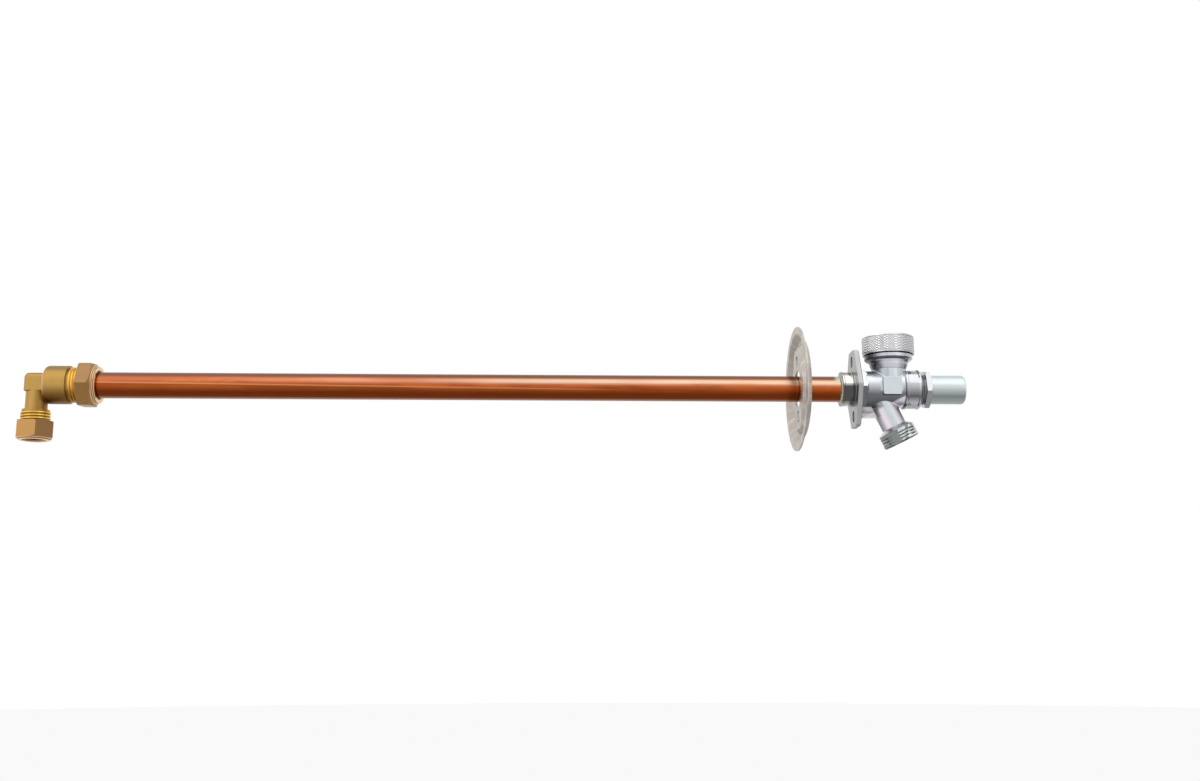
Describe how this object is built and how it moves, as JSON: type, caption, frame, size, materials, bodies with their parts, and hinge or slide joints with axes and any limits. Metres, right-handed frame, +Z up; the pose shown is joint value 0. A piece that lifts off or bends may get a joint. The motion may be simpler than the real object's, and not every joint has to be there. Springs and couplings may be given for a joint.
{
  "type": "frost free sillcock",
  "caption": "Key-operated frost free garden tap: long copper supply tube, brass inlet elbow, chromed valve with vacuum breaker and hose outlet, and a pressed wall plate.",
  "frame": {"origin": "centre of the mounting flange's back face, on the supply tube's axis", "axes": "+X out of the wall along the tube towards the key end, +Z up towards the vacuum breaker's cap"},
  "size_m": [0.6922, 0.092, 0.092],
  "materials": {
    "plated_brass": "satin",
    "copper": "glossy, drawn",
    "solder": "dull",
    "turned_brass": "turned",
    "cast_brass": "matte cast",
    "nut_brass": "satin",
    "stainless": "pressed, polished",
    "rubber": "matte",
    "plastic": "moulded"
  },
  "bodies": {
    "tap": {"valve_body": "plated_brass", "supply_tube": "copper", "solder_fillet": "solder", "headwork": "plated_brass", "headwork_seal": "rubber", "valve_seat": "turned_brass", "breaker_bonnet": "turned_brass", "breaker_gasket": "rubber", "breaker_cap": "plated_brass", "elbow_body": "cast_brass", "tube_nut": "nut_brass", "tube_olive": "turned_brass", "inlet_nut": "nut_brass", "inlet_olive": "turned_brass"},
    "washer_carrier": {"washer_holder": "turned_brass", "holder_ring": "stainless", "seat_washer": "rubber", "washer_screw": "turned_brass"},
    "stem": {"spindle": "turned_brass", "spindle_seals": "rubber", "stem_rod": "turned_brass", "stem_pins": "stainless", "stem_tip": "turned_brass"},
    "float": {"breaker_float": "plastic", "float_disc": "rubber"},
    "plate": {"wall_plate": "stainless"}
  },
  "joints": [
    {"name": "stem_travel", "type": "slide", "parent": "tap", "child": "washer_carrier", "axis": [1, 0, 0], "range_m": [0, 0.006]},
    {"name": "stem_turn", "type": "hinge", "parent": "washer_carrier", "child": "stem", "pos_m": [0, 0, 0], "axis": [1, 0, 0], "range_deg": [-10, 560]},
    {"name": "breaker_lift", "type": "slide", "parent": "tap", "child": "float", "axis": [0, 0, 1], "range_m": [0, 0.003]},
    {"name": "plate_slide", "type": "slide", "parent": "tap", "child": "plate", "axis": [1, 0, 0], "range_m": [-0.48, 0.0399]}
  ],
  "couplings": [
    {"joint": "stem_turn", "follows": "stem_travel", "rad_per_m": 1570.8}
  ]
}
